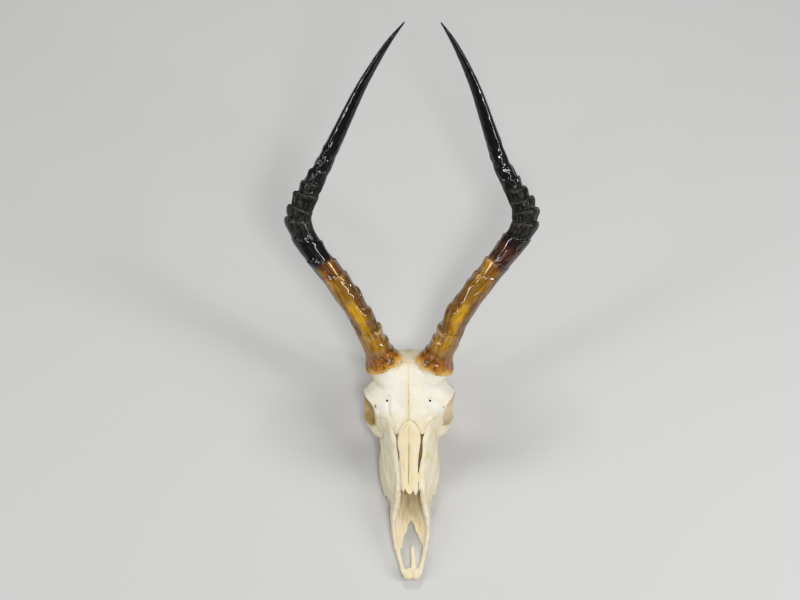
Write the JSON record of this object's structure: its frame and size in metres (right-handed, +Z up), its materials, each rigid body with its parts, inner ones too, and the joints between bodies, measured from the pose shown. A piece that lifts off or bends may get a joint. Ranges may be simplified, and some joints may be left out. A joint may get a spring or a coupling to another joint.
{
  "type": "antelope skull with horns",
  "caption": "Cleaned antelope skull without its lower jaw, standing on its cheek teeth, with a pair of long ringed lyre-shaped horns.",
  "frame": {"origin": "on the surface the skull stands on, under the middle of its bounding box", "axes": "-Y towards the nose, +Y towards the horn tips, +Z up, -X the side of the horn and teeth named left"},
  "size_m": [0.2984, 0.5084, 0.4361],
  "materials": {
    "bone": "dry cleaned bone, matte with a faint sheen on the forehead",
    "horn": "polished horn, amber near the skull and black from the bend to the tips",
    "tooth": "satin enamel with darker chewing surfaces"
  },
  "bodies": {
    "root": {"skull": "bone", "horn_left": "horn", "horn_right": "horn", "premolar_2_left": "tooth", "premolar_3_left": "tooth", "premolar_4_left": "tooth", "molar_1_left": "tooth", "molar_2_left": "tooth", "molar_3_left": "tooth", "premolar_2_right": "tooth", "premolar_3_right": "tooth", "premolar_4_right": "tooth", "molar_1_right": "tooth", "molar_2_right": "tooth", "molar_3_right": "tooth"}
  },
  "joints": []
}
